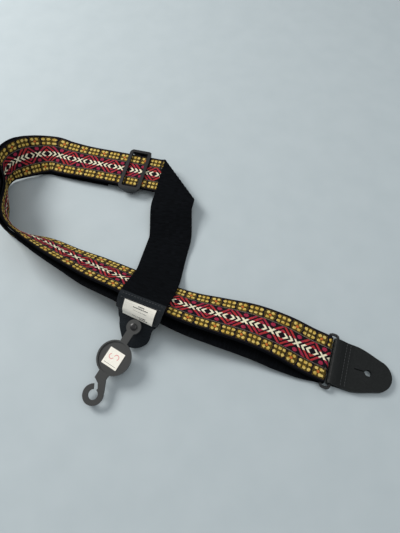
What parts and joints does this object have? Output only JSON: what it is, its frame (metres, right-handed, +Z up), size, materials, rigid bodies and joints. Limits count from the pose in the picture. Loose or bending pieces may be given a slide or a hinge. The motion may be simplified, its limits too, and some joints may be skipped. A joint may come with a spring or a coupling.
{
  "type": "guitar strap",
  "caption": "Woven patterned guitar strap lying in its shortest adjustment, with a slider, an end ring, leather button tabs and a plastic shop hanger",
  "frame": {"origin": "centre of the bounding box's footprint, on the table the strap lies on", "axes": "+X runs along the strap's length towards the end ring, +Y away from the viewer, +Z up off the table"},
  "size_m": [0.439, 0.339, 0.0544],
  "materials": {
    "webbing": "woven",
    "ribbon": "woven",
    "thread": "matte",
    "black_plastic": "satin",
    "grey_plastic": "satin",
    "leather": "satin",
    "suede": "rough",
    "paper": "matte"
  },
  "bodies": {
    "strap": {"strap_webbing": "webbing", "jacquard_ribbon": "ribbon", "fixed_tab_leather": "leather", "fixed_tab_lining": "suede", "fixed_tab_stitch_row_1": "thread", "fixed_tab_stitch_row_2": "thread", "paper_label": "paper", "hanger_peg": "black_plastic"},
    "slider": {"slider_frame": "black_plastic", "sewn_end_webbing": "webbing", "sewn_end_ribbon": "ribbon", "sewn_end_stitching": "thread"},
    "ring": {"end_ring": "black_plastic"},
    "ring_tab": {"ring_tab_leather": "leather", "ring_tab_stitch_row_1": "thread", "ring_tab_stitch_row_2": "thread"},
    "hanger": {"shop_hanger": "grey_plastic", "hanger_sticker": "paper"}
  },
  "joints": [
    {"name": "slider_slide", "type": "slide", "parent": "strap", "child": "slider", "axis": [-0.9716, 0.2367, 0], "range_m": [0, 0.02]},
    {"name": "ring_hinge", "type": "hinge", "parent": "strap", "child": "ring", "pos_m": [0.15656, -0.12374, 0.00454], "axis": [-0.3338, -0.9426, 0], "range_deg": [0, 50]},
    {"name": "tab_hinge", "type": "hinge", "parent": "ring", "child": "ring_tab", "pos_m": [0.16466, -0.12661, 0.00454], "axis": [-0.3338, -0.9426, 0], "range_deg": [-45, 75]},
    {"name": "hanger_swivel", "type": "hinge", "parent": "strap", "child": "hanger", "pos_m": [-0.03494, -0.09644, 0.02169], "axis": [-0.0959, -0.1549, 0.9833], "range_deg": [-25, 25]}
  ]
}
